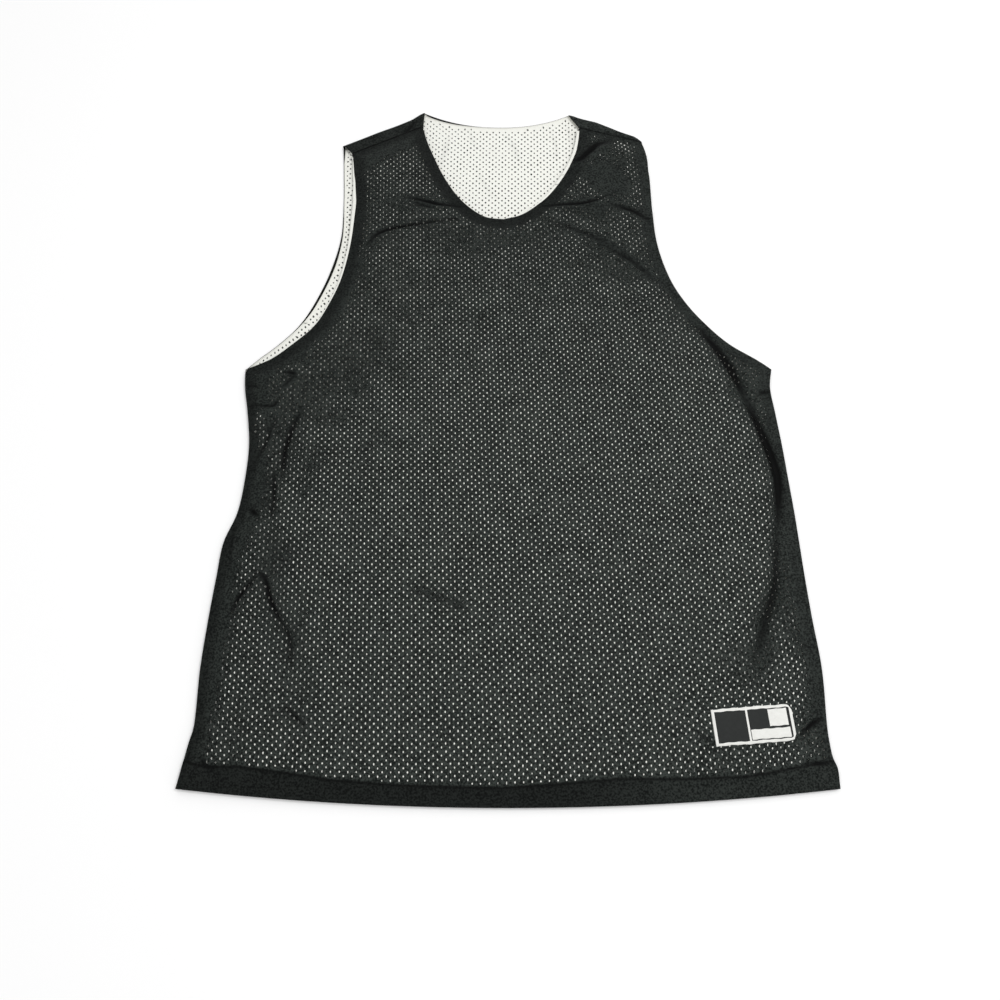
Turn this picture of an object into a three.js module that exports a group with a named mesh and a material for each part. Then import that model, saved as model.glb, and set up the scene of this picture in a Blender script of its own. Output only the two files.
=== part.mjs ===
import * as THREE from 'three';

// A reversible basketball jersey, laid on its back. Sizes are in millimetres, +Y runs from hem to neck.
// In the tables x is measured from the centre front and y up from the middle of the hem.

// Cloth: each mesh ply is a wall, and the black ply turns round outside the white one.
const clothThickness = 1;
const plyGap = 0.3;
const seamGap = 0.3;
const whitePly = { inner: plyGap / 2, outer: plyGap / 2 + clothThickness };
const blackPly = { inner: whitePly.outer + plyGap, outer: whitePly.outer + plyGap + clothThickness };

// Heights of the lines that the plies turn about, at the side seams and over the shoulders.
const backCentre = blackPly.outer;
const frontCentre = backCentre + seamGap;

// Turned edges.
const hemDepth = 24;
const hemRaise = 0.6;
const hemSlope = 3;
const whiteHemLift = 4;
const rowSag = 17;
const frontReveal = 3;
const backReveal = 2;
const neckMiddle = { x: -5, y: 790 };
const neckRimSweep = THREE.MathUtils.degToRad(135);

// Side edges of the body from the hem up to the armpits, a row for each section.
const sideSections = [
  { y: 17, left: -316, right: 317 },
  { y: 45, left: -312, right: 315 },
  { y: 75, left: -306, right: 313 },
  { y: 130, left: -307, right: 315 },
  { y: 180, left: -305, right: 312 },
  { y: 225, left: -302, right: 310 },
  { y: 262, left: -299, right: 309 },
  { y: 295, left: -288, right: 308 },
  { y: 335, left: -284, right: 306 },
  { y: 375, left: -284, right: 304 },
  { y: 415, left: -290, right: 301 },
  { y: 445, left: -296, right: 299 },
  { y: 468, left: -298, right: 303 },
];

// Armhole edges of the front, from the armpits up to the level of the neck's lowest point.
const frontArmholes = [
  { y: 468, left: -298, right: 303 },
  { y: 480, left: -272, right: 288 },
  { y: 500, left: -248, right: 259 },
  { y: 525, left: -224, right: 235 },
  { y: 555, left: -209, right: 213 },
  { y: 590, left: -197, right: 196 },
  { y: 640, left: -189, right: 184 },
  { y: 694, left: -186, right: 181 },
];

// Armhole edges of the back, which shows beyond the front at the left, up to the shoulder folds.
const backArmholes = [
  { y: 468, left: -298, right: 303 },
  { y: 481, left: -286, right: 284 },
  { y: 500, left: -265, right: 256 },
  { y: 525, left: -243, right: 232 },
  { y: 555, left: -227, right: 210 },
  { y: 600, left: -211, right: 190 },
  { y: 650, left: -201, right: 181 },
  { y: 700, left: -201, right: 179 },
  { y: 750, left: -204, right: 177 },
  { y: 788, left: -207, right: 174 },
];

// Straps of the front, each section running from the armhole edge to the neck edge.
const leftStrap = [
  { step: 0, armholeX: -186, armholeY: 694, neckX: -2.5, neckY: 677 },
  { step: 1, armholeX: -186, armholeY: 704, neckX: -24, neckY: 680 },
  { step: 2, armholeX: -187, armholeY: 714, neckX: -44, neckY: 694 },
  { step: 3, armholeX: -188, armholeY: 724, neckX: -62, neckY: 715 },
  { step: 4, armholeX: -189, armholeY: 735, neckX: -79, neckY: 745 },
  { step: 5, armholeX: -191, armholeY: 746, neckX: -94, neckY: 781 },
  { step: 6, armholeX: -192, armholeY: 757, neckX: -102, neckY: 801 },
  { step: 7, armholeX: -193, armholeY: 768, neckX: -106, neckY: 817 },
];
const rightStrap = [
  { step: 0, armholeX: 181, armholeY: 694, neckX: -2.5, neckY: 677 },
  { step: 1, armholeX: 181, armholeY: 708, neckX: 20, neckY: 684 },
  { step: 2, armholeX: 181, armholeY: 723, neckX: 43, neckY: 702 },
  { step: 3, armholeX: 181, armholeY: 738, neckX: 58, neckY: 719 },
  { step: 4, armholeX: 180, armholeY: 753, neckX: 73, neckY: 743 },
  { step: 5, armholeX: 180, armholeY: 768, neckX: 86, neckY: 771 },
  { step: 6, armholeX: 178, armholeY: 782, neckX: 92, neckY: 795 },
  { step: 7, armholeX: 174, armholeY: 794, neckX: 95, neckY: 817 },
];

// Shoulders, from tip to neck: the fold where the back panel turns over, and its seam with the front.
const leftShoulder = {
  foldTip: { x: -208, y: 791 },
  foldNeck: { x: -106, y: 847 },
  seamTip: { x: -193, y: 768 },
  seamNeck: { x: -106, y: 817 },
};
const rightShoulder = {
  foldTip: { x: 175, y: 799 },
  foldNeck: { x: 83, y: 843 },
  seamTip: { x: 174, y: 794 },
  seamNeck: { x: 95, y: 817 },
};
const backNeckDip = 22;
const backNeckRoundness = 2.2;
const backSlantStart = 600;

// Air under the front, and the soft troughs that run down it along a start, a middle and an end point.
const loft = 4;
const loftMargin = 3;
const loftSlope = 26;
const troughSteps = 16;
const troughEndShare = 0.15;
const troughs = [
  { x1: 246, y1: 484, x2: 278, y2: 412, x3: 294, y3: 337, width: 30, depth: 4 },
  { x1: 294, y1: 337, x2: 288, y2: 245, x3: 249, y3: 137, width: 30, depth: 4 },
  { x1: -254, y1: 420, x2: -266, y2: 380, x3: -277, y3: 345, width: 26, depth: 3 },
  { x1: -232, y1: 376, x2: -252, y2: 330, x3: -252, y3: 262, width: 30, depth: 3 },
  { x1: -252, y1: 262, x2: -238, y2: 195, x3: -203, y3: 112, width: 34, depth: 3.5 },
  { x1: -278, y1: 205, x2: -283, y2: 185, x3: -290, y3: 160, width: 26, depth: 2.5 },
];

// Woven label at the lower right of the front.
const labelSize = { width: 78, height: 34, corner: 6, thickness: 0.8 };
const labelPlace = { x: 239, y: 75.5, turn: THREE.MathUtils.degToRad(4.3) };

// Grid of the walls: columns as shares of a half section, and counts of rows, columns and steps.
const frontShares = [0, 0.028, 0.056, 0.09, 0.13, 0.175, 0.23, 0.3, 0.4, 0.55, 0.7, 0.84, 0.96, 1];
const frontRowStep = 26;
const armholeRows = 11;
const strapRows = 14;
const backRowStep = 45;
const backUpperRows = 12;
const shoulderColumns = 4;
const backNeckColumns = 8;
const outlineSteps = 20;
const cornerSteps = 4;
const labelRows = 3;
const turnSteps = 3;
const wrapSteps = 6;
const wrapRows = 2;

// The whole numbers from nought up to a count.
function range(count) {
  return Array.from({ length: count + 1 }, (unused, index) => index);
}

// A smooth line through one column of a table, looked up by another.
function lookUp(table, key, column, value) {
  const last = table.length - 2;
  let index = 0;
  while (index < last && value > table[index + 1][key]) {
    index += 1;
  }
  const slope = (at) => {
    const before = table[Math.max(at - 1, 0)];
    const after = table[Math.min(at + 1, table.length - 1)];
    return (after[column] - before[column]) / (after[key] - before[key]);
  };
  const from = table[index];
  const to = table[index + 1];
  const span = to[key] - from[key];
  const t = (value - from[key]) / span;
  const rise = to[column] - from[column];
  const bendFrom = slope(index) * span - rise;
  const bendTo = rise - slope(index + 1) * span;
  return from[column] + rise * t + t * (1 - t) * (bendFrom * (1 - t) + bendTo * t);
}

function between(from, to, share) {
  return { x: THREE.MathUtils.lerp(from.x, to.x, share), y: THREE.MathUtils.lerp(from.y, to.y, share) };
}

// One section across the body, from edge to edge, hanging a little in the middle.
function bodyPoint(table, y, share) {
  const left = lookUp(table, 'y', 'left', y);
  const right = lookUp(table, 'y', 'right', y);
  const sag = rowSag * 4 * share * (1 - share);
  return { x: THREE.MathUtils.lerp(left, right, share), y: y - sag };
}

// One section of a strap, from the armhole edge to the neck edge.
function strapPoint(table, step, share) {
  const at = (column) => lookUp(table, 'step', column, step);
  const armhole = { x: at('armholeX'), y: at('armholeY') };
  const neck = { x: at('neckX'), y: at('neckY') };
  const steps = table[table.length - 1].step;
  const point = between(armhole, neck, share);
  point.y -= rowSag * share * (1 - share) * (1 - step / steps);
  return point;
}

// The front's outline as short straight lines, for the distance of a point from the nearest edge.
function frontOutline() {
  const shares = range(outlineSteps).map((step) => step / outlineSteps);
  const bodyEdge = (table, side) => shares.map((share) => {
    const highest = table[table.length - 1].y;
    return bodyPoint(table, THREE.MathUtils.lerp(table[0].y, highest, share), side);
  });
  const strapEdge = (strap, side) => {
    return shares.map((share) => strapPoint(strap, share * (strap.length - 1), side));
  };
  const runs = [
    shares.map((share) => bodyPoint(sideSections, sideSections[0].y, share)),
    [leftShoulder.seamTip, leftShoulder.seamNeck],
    [rightShoulder.seamTip, rightShoulder.seamNeck],
  ];
  for (const side of [0, 1]) {
    runs.push(bodyEdge(sideSections, side), bodyEdge(frontArmholes, side));
    runs.push(strapEdge(leftStrap, side), strapEdge(rightStrap, side));
  }
  return runs.flatMap((run) => run.slice(1).map((to, index) => new THREE.Line3(
    new THREE.Vector3(run[index].x, run[index].y, 0),
    new THREE.Vector3(to.x, to.y, 0),
  )));
}

const outline = frontOutline();

function distanceToEdge(x, y) {
  const point = new THREE.Vector3(x, y, 0);
  const nearest = new THREE.Vector3();
  const distances = outline.map((line) => line.closestPointToPoint(point, true, nearest).distanceTo(point));
  return Math.min(...distances);
}

// A trough's middle line, as points with the share of its depth that it has there.
function troughLine({ x1, y1, x2, y2, x3, y3 }) {
  const pull = new THREE.Vector2(2 * x2 - (x1 + x3) / 2, 2 * y2 - (y1 + y3) / 2);
  const line = new THREE.QuadraticBezierCurve(new THREE.Vector2(x1, y1), pull, new THREE.Vector2(x3, y3));
  return line.getPoints(troughSteps).map((point, step) => {
    const along = THREE.MathUtils.lerp(troughEndShare, 1 - troughEndShare, step / troughSteps);
    return { point, share: Math.sin(Math.PI * along) };
  });
}

const troughLines = troughs.map((trough) => ({ ...trough, line: troughLine(trough) }));

// How deep one trough is at a place, rounded across its width.
function troughDepth({ line, width, depth }, x, y) {
  return line.reduce((deepest, { point, share }) => {
    const across = Math.min(Math.hypot(point.x - x, point.y - y) / (width / 2), 1);
    return Math.max(deepest, depth * share * Math.cos((across * Math.PI) / 2) ** 2);
  }, 0);
}

// How far the front lies above its edges.
function lift(x, y) {
  const fade = THREE.MathUtils.smoothstep(distanceToEdge(x, y), loftMargin, loftMargin + loftSlope);
  const depth = troughLines.reduce((deepest, trough) => Math.max(deepest, troughDepth(trough, x, y)), 0);
  return Math.max(loft - depth, 0) * fade;
}

// A point of the wall, as its outer and inner places. Where the cloth folds about an edge,
// the turn is the angle round that edge's line: none on top, a half turn underneath.
function wallPoint(ply, place, centre, turn = 0, outward = { x: 0, y: 0 }, raised = 0) {
  const at = (radius, extra) => new THREE.Vector3(
    place.x + outward.x * radius * Math.sin(turn),
    place.y + outward.y * radius * Math.sin(turn),
    centre + radius * Math.cos(turn) + extra,
  );
  return { outer: at(ply.outer, raised), inner: at(ply.inner, 0) };
}

// A grid of points, row by row.
function patch(rows, columns, pointAt) {
  return rows.map((row) => columns.map((column) => pointAt(row, column)));
}

// A closed wall from patches whose shared edges have equal points.
function wall(patches, facesDown) {
  const numbers = new Map();
  const outer = [];
  const inner = [];
  const numberOf = (point) => {
    const key = point.outer.toArray().map((value) => value.toFixed(3)).join();
    if (!numbers.has(key)) {
      numbers.set(key, outer.length);
      outer.push(point.outer);
      inner.push(point.inner);
    }
    return numbers.get(key);
  };
  const triangles = [];
  for (const rows of patches) {
    for (let row = 0; row + 1 < rows.length; row += 1) {
      for (let column = 0; column + 1 < rows[row].length; column += 1) {
        const a = numberOf(rows[row][column]);
        const b = numberOf(rows[row][column + 1]);
        const c = numberOf(rows[row + 1][column + 1]);
        const d = numberOf(rows[row + 1][column]);
        for (const corners of [[a, b, c], [a, c, d]]) {
          if (new Set(corners).size === 3) {
            triangles.push(facesDown ? corners.reverse() : corners);
          }
        }
      }
    }
  }
  const edges = new Set(triangles.flatMap(([a, b, c]) => [`${a},${b}`, `${b},${c}`, `${c},${a}`]));
  const count = outer.length;
  const faces = [];
  for (const [a, b, c] of triangles) {
    faces.push(a, b, c, a + count, c + count, b + count);
    for (const [from, to] of [[a, b], [b, c], [c, a]]) {
      if (!edges.has(`${to},${from}`)) {
        faces.push(to, from, from + count, to, from + count, to + count);
      }
    }
  }
  const geometry = new THREE.BufferGeometry();
  const places = [...outer, ...inner].flatMap((point) => point.toArray());
  geometry.setAttribute('position', new THREE.Float32BufferAttribute(places, 3));
  geometry.setIndex(faces);
  geometry.computeVertexNormals();
  return geometry;
}

// A row across the body that ends just inside the sides, where the cloth turns round.
function insideSides(y, share) {
  const width = bodyPoint(sideSections, y, 1).x - bodyPoint(sideSections, y, 0).x;
  const margin = blackPly.outer / width;
  return bodyPoint(sideSections, y, margin + (1 - 2 * margin) * share);
}

// The strip that turns round a side seam, from the flat wall to where the two panels meet.
function sideTurn(ply, rows, centre, side, upward) {
  const outward = { x: side, y: 0 };
  const steps = side < 0 ? range(turnSteps).reverse() : range(turnSteps);
  return patch(rows, steps, (y, step) => {
    const turn = (step / turnSteps) * (Math.PI / 2);
    const place = insideSides(y, side < 0 ? 0 : 1);
    return wallPoint(ply, place, centre, upward ? Math.PI - turn : turn, outward);
  });
}

// Rows up one panel's sides, with close ones at the top of the turned hem.
function sideRows(ply, step) {
  const lowest = sideSections[0].y;
  const highest = sideSections[sideSections.length - 1].y;
  const first = lowest + hemDepth + hemSlope;
  const count = Math.round((highest - first) / step);
  const rows = range(count).map((index) => first + ((highest - first) * index) / count);
  return [ply === whitePly ? lowest + whiteHemLift : lowest, lowest + hemDepth, ...rows];
}

// A front panel: the body from hem to neck, a strap on each side, and the turns at the side seams.
// The reveal is how far its left armhole and right neck edge roll out past the other ply.
function frontPanel(ply, reveal) {
  const columns = [
    ...frontShares.map((share) => share / 2),
    ...frontShares.slice(0, -1).reverse().map((share) => 1 - share / 2),
  ];
  const sideYs = sideRows(ply, frontRowStep);
  const armpit = sideYs[sideYs.length - 1];
  const pointAt = (place, edge = place, raised = 0) => {
    return wallPoint(ply, edge, frontCentre + lift(place.x, place.y), 0, undefined, raised);
  };

  const bodyAt = (y, share) => {
    const place = insideSides(y, share);
    const onHem = ply === blackPly && y <= sideYs[1] && share > 0 && share < 1;
    return pointAt(place, place, onHem ? hemRaise : 0);
  };

  const top = frontArmholes[frontArmholes.length - 1].y;
  const armholeYs = range(armholeRows).map((index) => armpit + ((top - armpit) * index) / armholeRows);
  const armholeAt = (y, share) => {
    if (y === armpit) {
      return bodyAt(y, share);
    }
    const place = bodyPoint(frontArmholes, y, share);
    const shift = share === 0 ? (reveal * (y - armpit)) / (top - armpit) : 0;
    return pointAt(place, { x: place.x - shift, y: place.y });
  };

  const strapAt = (strap, side) => (row, share) => {
    const steps = strap.length - 1;
    const step = (row / strapRows) * steps;
    const place = strapPoint(strap, step, share);
    const edge = { x: place.x, y: place.y };
    if (side < 0 && share === 0) {
      edge.x -= reveal * Math.cos((step / steps) * (Math.PI / 2));
    }
    if (side > 0 && share === 1) {
      const inward = new THREE.Vector2(neckMiddle.x - place.x, neckMiddle.y - place.y).normalize();
      const rim = reveal * Math.sin((step / steps) * neckRimSweep);
      edge.x += rim * inward.x;
      edge.y += rim * inward.y;
    }
    if (row === strapRows) {
      edge.y -= seamGap;
    }
    return pointAt(place, edge);
  };
  const strapShares = [...frontShares].reverse();

  return wall([
    patch(sideYs, columns, bodyAt),
    sideTurn(ply, sideYs, frontCentre, -1, false),
    sideTurn(ply, sideYs, frontCentre, 1, false),
    patch(armholeYs, columns, armholeAt),
    patch(range(strapRows), frontShares, strapAt(leftStrap, -1)),
    patch(range(strapRows), strapShares, strapAt(rightStrap, 1)),
  ], false);
}

// A place on the back, where the rows grow from level to the line of the shoulders and neck.
function backPlace(y, column, reveal) {
  const left = { x: lookUp(backArmholes, 'y', 'left', y) + reveal, y };
  const right = { x: lookUp(backArmholes, 'y', 'right', y), y };
  const share = backShare(column);
  const top = backArmholes[backArmholes.length - 1].y;
  const slant = THREE.MathUtils.smoothstep(y, backSlantStart, top);
  const level = between(left, right, share);
  level.y -= rowSag * 4 * share * (1 - share);
  return between(level, backTop(column, reveal), slant);
}

// The share of the width at which a column of the back lies.
function backShare(column) {
  const tips = { left: leftShoulder.foldTip.x, right: rightShoulder.foldTip.x };
  const x = backTop(column, 0).x;
  return (x - tips.left) / (tips.right - tips.left);
}

// The top line of the back: the left shoulder fold, the dip of the neck, the right shoulder fold.
function backTop(column, reveal) {
  const neckEnd = shoulderColumns + backNeckColumns;
  const inset = (point) => ({ x: point.x, y: point.y - blackPly.outer });
  if (column <= shoulderColumns) {
    return between(inset(leftShoulder.foldTip), inset(leftShoulder.foldNeck), column / shoulderColumns);
  }
  if (column >= neckEnd) {
    const share = (column - neckEnd) / shoulderColumns;
    return between(inset(rightShoulder.foldNeck), inset(rightShoulder.foldTip), share);
  }
  const share = (column - shoulderColumns) / backNeckColumns;
  const point = between(inset(leftShoulder.foldNeck), inset(rightShoulder.foldNeck), share);
  point.y -= (backNeckDip + reveal) * (1 - Math.abs(2 * share - 1) ** backNeckRoundness);
  return point;
}

// The part of the back that turns over a shoulder fold and runs down to the seam on the front.
function shoulderWrap(ply, shoulder, columns, placeAt) {
  const first = columns[0];
  const count = columns.length - 1;
  const tipFirst = shoulder === leftShoulder;
  return patch(range(wrapSteps + wrapRows), columns, (row, column) => {
    const place = placeAt(column);
    if (row <= wrapSteps) {
      return wallPoint(ply, place, backCentre, Math.PI * (1 - row / wrapSteps), { x: 0, y: 1 });
    }
    const share = (column - first) / count;
    const seam = between(shoulder.seamTip, shoulder.seamNeck, tipFirst ? share : 1 - share);
    return wallPoint(ply, between(place, seam, (row - wrapSteps) / wrapRows), backCentre);
  });
}

// A back panel: one grid from hem to shoulders, the turns at the side seams, and the shoulder wraps.
// The reveal is how far its left armhole and neck edge stand inside the other ply's.
function backPanel(ply, reveal) {
  const columns = range(2 * shoulderColumns + backNeckColumns);
  const sideYs = sideRows(ply, backRowStep);
  const armpit = sideYs[sideYs.length - 1];
  const top = backArmholes[backArmholes.length - 1].y;
  const upperYs = range(backUpperRows).map((index) => armpit + ((top - armpit) * index) / backUpperRows);
  const sideAt = (y, column) => {
    return wallPoint(ply, insideSides(y, backShare(column)), backCentre, Math.PI);
  };
  const upperAt = (y, column) => {
    if (y === armpit) {
      return sideAt(y, column);
    }
    return wallPoint(ply, backPlace(y, column, reveal), backCentre, Math.PI);
  };
  const topPlace = (column) => backPlace(top, column, reveal);
  return wall([
    patch(sideYs, columns, sideAt),
    sideTurn(ply, sideYs, backCentre, -1, true),
    sideTurn(ply, sideYs, backCentre, 1, true),
    patch(upperYs, columns, upperAt),
    shoulderWrap(ply, leftShoulder, columns.slice(0, shoulderColumns + 1), topPlace),
    shoulderWrap(ply, rightShoulder, columns.slice(-shoulderColumns - 1), topPlace),
  ], true);
}

// The label follows the front's own points, moved out, with its right corners rounded.
function hemLabel() {
  const { width, height, corner, thickness } = labelSize;
  const straight = width / 2 - corner;
  const across = [-width / 2, -straight / 2, 0, straight / 2];
  for (const step of range(cornerSteps)) {
    across.push(straight + corner * Math.sin((step / cornerSteps) * (Math.PI / 2)));
  }
  const up = range(labelRows).map((row) => (2 * row) / labelRows - 1);
  const points = patch(up, across, (share, x) => {
    const beyond = Math.max(x - straight, 0);
    const half = height / 2 - corner + Math.sqrt(corner ** 2 - beyond ** 2);
    const local = new THREE.Vector2(x, share * half).rotateAround(new THREE.Vector2(), labelPlace.turn);
    const place = local.add(new THREE.Vector2(labelPlace.x, labelPlace.y));
    const under = frontCentre + blackPly.outer + lift(place.x, place.y) + plyGap;
    return {
      outer: new THREE.Vector3(place.x, place.y, under + thickness),
      inner: new THREE.Vector3(place.x, place.y, under),
    };
  });
  return wall([points], false);
}

const blackMesh = { color: 0x2c2f2f, roughness: 0.85, metalness: 0 };
const whiteMesh = { color: 0xe9e9e2, roughness: 0.85, metalness: 0 };
const labelWeave = { color: 0xd8d8d2, roughness: 0.7, metalness: 0 };

const jersey = new THREE.Group();

function addPiece(name, geometry, colours) {
  const piece = new THREE.Mesh(geometry, new THREE.MeshStandardMaterial(colours));
  piece.name = name;
  jersey.add(piece);
}

addPiece('front_black_mesh', frontPanel(blackPly, 0), blackMesh);
addPiece('front_white_mesh', frontPanel(whitePly, frontReveal), whiteMesh);
addPiece('back_white_mesh', backPanel(whitePly, backReveal), whiteMesh);
addPiece('back_black_mesh', backPanel(blackPly, 0), blackMesh);
addPiece('hem_label', hemLabel(), labelWeave);

// The origin is under the middle of the whole jersey.
const bounds = new THREE.Box3().setFromObject(jersey);
const middle = bounds.getCenter(new THREE.Vector3());
jersey.position.set(-middle.x, -middle.y, -bounds.min.z);

export default jersey;
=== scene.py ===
import math

import bmesh
import bpy
import numpy as np
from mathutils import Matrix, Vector, noise
from mathutils.kdtree import KDTree


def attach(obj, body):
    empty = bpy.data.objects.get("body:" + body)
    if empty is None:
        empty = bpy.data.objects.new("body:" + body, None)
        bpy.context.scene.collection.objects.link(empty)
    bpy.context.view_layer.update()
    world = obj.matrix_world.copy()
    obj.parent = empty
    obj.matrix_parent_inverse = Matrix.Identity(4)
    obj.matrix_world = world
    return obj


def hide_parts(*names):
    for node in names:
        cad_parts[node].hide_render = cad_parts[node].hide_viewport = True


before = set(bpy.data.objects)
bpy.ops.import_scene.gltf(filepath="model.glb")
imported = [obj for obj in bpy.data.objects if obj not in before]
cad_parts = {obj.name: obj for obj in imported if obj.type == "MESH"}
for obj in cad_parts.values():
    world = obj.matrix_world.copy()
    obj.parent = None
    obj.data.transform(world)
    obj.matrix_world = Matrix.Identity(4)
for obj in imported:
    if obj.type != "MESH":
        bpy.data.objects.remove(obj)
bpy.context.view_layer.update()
print("stage: the solids are loaded")

# Sizes are in millimetres on the cutting table: x from the centre front, y up from the middle of the hem.
tableCentre = (0.5, 423.5)  # the frame's origin on the table

# Levels where the edges change: the hem's ends, under the arms, the foot of the straps, the back's tips.
marks = {"hemEnd": 17, "underarm": 468, "strapFoot": 694, "backTip": 788}
hemSag = 17  # how far the hem's middle hangs below its ends
neckMiddle = (-5, 790)  # the right neck edge rolls towards it
# How many points each stretch of an outline has.
points = {
    "hem": 41, "side": 70, "frontArmhole": 36, "strap": 14, "frontNeck": 33, "seam": 10,
    "backArmhole": 40, "backNeck": 31, "fold": 22,
}

# Edges that the pieces share, section by section: y, left, right.
sideEdges = [
    (17, -316, 317), (36, -313, 317.3), (45, -311.5, 314.2), (60, -309, 312.8), (75, -306, 312.6),
    (130, -307, 315), (180, -305, 312), (225, -302, 310), (262, -299, 309), (295, -288, 308),
    (335, -284, 306), (375, -284, 304), (415, -290, 301), (445, -296, 299), (468, -298, 303),
]
frontArmholes = [
    (468, -298, 303), (480, -272, 288), (500, -248, 259), (525, -224, 235), (555, -209, 213),
    (590, -197, 196), (640, -189, 184), (694, -186, 181),
]
backArmholes = [
    (468, -298, 303), (481, -286, 284), (500, -265, 256), (525, -243, 232), (555, -227, 210),
    (600, -211, 190), (650, -201, 181), (700, -201, 179), (750, -204, 177), (788, -207, 174),
]
# Straps of the front, section by section: step, armhole x and y, neck x and y.
leftStrap = [
    (0, -186, 694, -2.5, 677), (1, -186, 704, -24, 680), (2, -187, 714, -44, 694),
    (3, -188, 724, -62, 715), (4, -189, 735, -79, 745), (5, -191, 746, -94, 781),
    (6, -193, 764, -102, 804), (7, -195, 778, -106, 822),
]
rightStrap = [
    (0, 181, 694, -2.5, 677), (1, 181, 708, 20, 684), (2, 181, 723, 43, 702), (3, 181, 738, 58, 719),
    (4, 180, 753, 73, 743), (5, 180, 768, 86, 771), (6, 178, 782, 92, 795), (7, 174, 797, 95, 820),
]
# Shoulders, from tip to neck: the fold of the back, and its seam with the front.
leftShoulder = {
    "foldTip": (-208, 791), "foldNeck": (-106, 847), "seamTip": (-195, 778), "seamNeck": (-106, 822),
}
rightShoulder = {
    "foldTip": (175, 799), "foldNeck": (83, 843), "seamTip": (174, 797), "seamNeck": (95, 820),
}
# How far a shoulder's fold bows away from a straight line: share from tip to neck, millimetres up.
leftBow = [(0, 0), (0.22, -1.1), (0.44, -1.9), (0.66, -3.8), (0.85, -4.2), (1, 0)]
rightBow = [(0, 0), (0.1, 3.6), (0.2, 3.0), (0.31, 2.6), (0.44, 3.3), (0.63, 3.8), (0.84, 0.3), (1, 0)]
# The seams as soft lines: ends, width, depth.
shoulderSeams = [((ends["seamTip"], ends["seamNeck"]), 5, 1) for ends in (leftShoulder, rightShoulder)]
# The back's neck: its dip and how flat the dip is. Its black edge shows beside the white
# from one share of the way to the next, counted from the right shoulder.
backNeck = {"dip": 22, "flat": 2.2, "least": 0.05, "most": 1.35, "shows": (0.58, 0.92), "ends": (0.96, 1)}

# The knitted net: oval holes in rows, each row half a step aside of the last.
net = {
    "across": 8.15, "along": 7.45, "columns": 88, "rows": 244, "uneven": 0.13, "pointed": 0.9, "sag": 17,
    "level": 0.17, "halfWide": 317, "beyond": 0.1, "middle": (0, 410),
}

# How each kind of edge is finished: how far it rolls out and down, and its straight part.
# Where it says None, the edge rolls by the ply's own radius.
edgeFinish = {
    "hem": {"out": 1.4, "drop": 1.3, "skirt": 0.6},
    "side": {"out": None, "drop": None, "skirt": 0.1},
    "armhole": {"out": 1.2, "drop": 1.2, "skirt": 0.4},
    "neck": {"out": 1.2, "drop": 1.2, "skirt": 0.4},
    "shoulder": {"out": 0.9, "drop": 0.9, "skirt": 0.6},
    "fold": {"out": None, "drop": None, "skirt": 0.0},
}
# How far in from each edge the cloth is doubled, and shows no holes.
frontBands = {"hem": 6, "side": 9, "armhole": 13, "neck": 15, "shoulder": 7}
frontWhiteBands = {"hem": 6, "side": 6, "armhole": 8, "neck": 10, "shoulder": 2.5}
backBands = {"hem": 6, "side": 9, "armhole": 2.6, "neck": 4.5, "fold": 8}
# How much of the back's black edge shows beside its white in the left armhole: height, share.
sleeveReveal = [(468, 0), (520, 0.25), (550, 1.3), (610, 1.5), (660, 0.5), (700, 0.05), (765, 0.05), (785, 1)]

# Heights in the stack, in millimetres over the surface it lies on: each panel's middle, and how far
# its black and white plies lie from it. White plies lie lower in creases, and inward of the black ones.
stack = {
    "backCentre": 2.45, "frontCentre": 2.75, "black": 2.3, "white": 2.08, "creaseGap": 0.45, "inward": 0.45,
    "wrapGap": 0.35,
}
closest = 1.2  # outline points nearer than this are made one
sharpTurn = 0.35  # an outline that turns by more has a corner there


# A smooth line through one column of a table, looked up by its first.
def smoothColumn(table, index, at):
    keys = np.array([row[0] for row in table], float)
    values = np.array([row[index] for row in table], float)
    places = np.arange(len(keys))
    before = np.maximum(places - 1, 0)
    after = np.minimum(places + 1, len(keys) - 1)
    slopes = (values[after] - values[before]) / (keys[after] - keys[before])
    at = np.asarray(at, float)
    cell = np.clip(np.searchsorted(keys, at) - 1, 0, len(keys) - 2)
    span = keys[cell + 1] - keys[cell]
    share = (at - keys[cell]) / span
    rise = values[cell + 1] - values[cell]
    bendFrom = slopes[cell] * span - rise
    bendTo = rise - slopes[cell + 1] * span
    return values[cell] + rise * share + share * (1 - share) * (bendFrom * (1 - share) + bendTo * share)


def ease(value, low, high):
    share = np.clip((value - low) / (high - low), 0, 1)
    return share * share * (3 - 2 * share)


def lessen(value, share, low, high):
    return 1 - share * ease(value, low, high)


def straight(start, end, count):
    share = np.linspace(0, 1, count)[:, None]
    return np.array(start, float) * (1 - share) + np.array(end, float) * share


def hemRun(lift):
    share = np.linspace(0, 1, points["hem"])
    left, right = sideEdges[0][1:]
    height = marks["hemEnd"] + lift - 4 * hemSag * share * (1 - share)
    return np.stack([left + (right - left) * share, height], 1)


def edgeColumn(table, index, low, high, count, shift=0):
    y = np.linspace(low, high, count)
    away = shift * (y - marks["underarm"]) / (marks["strapFoot"] - marks["underarm"])
    return np.stack([smoothColumn(table, index, y) + away, y], 1)


def strapColumn(table, first, low, high, count):
    step = np.linspace(low, high, count)
    return np.stack([smoothColumn(table, first, step), smoothColumn(table, first + 1, step)], 1)


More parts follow.
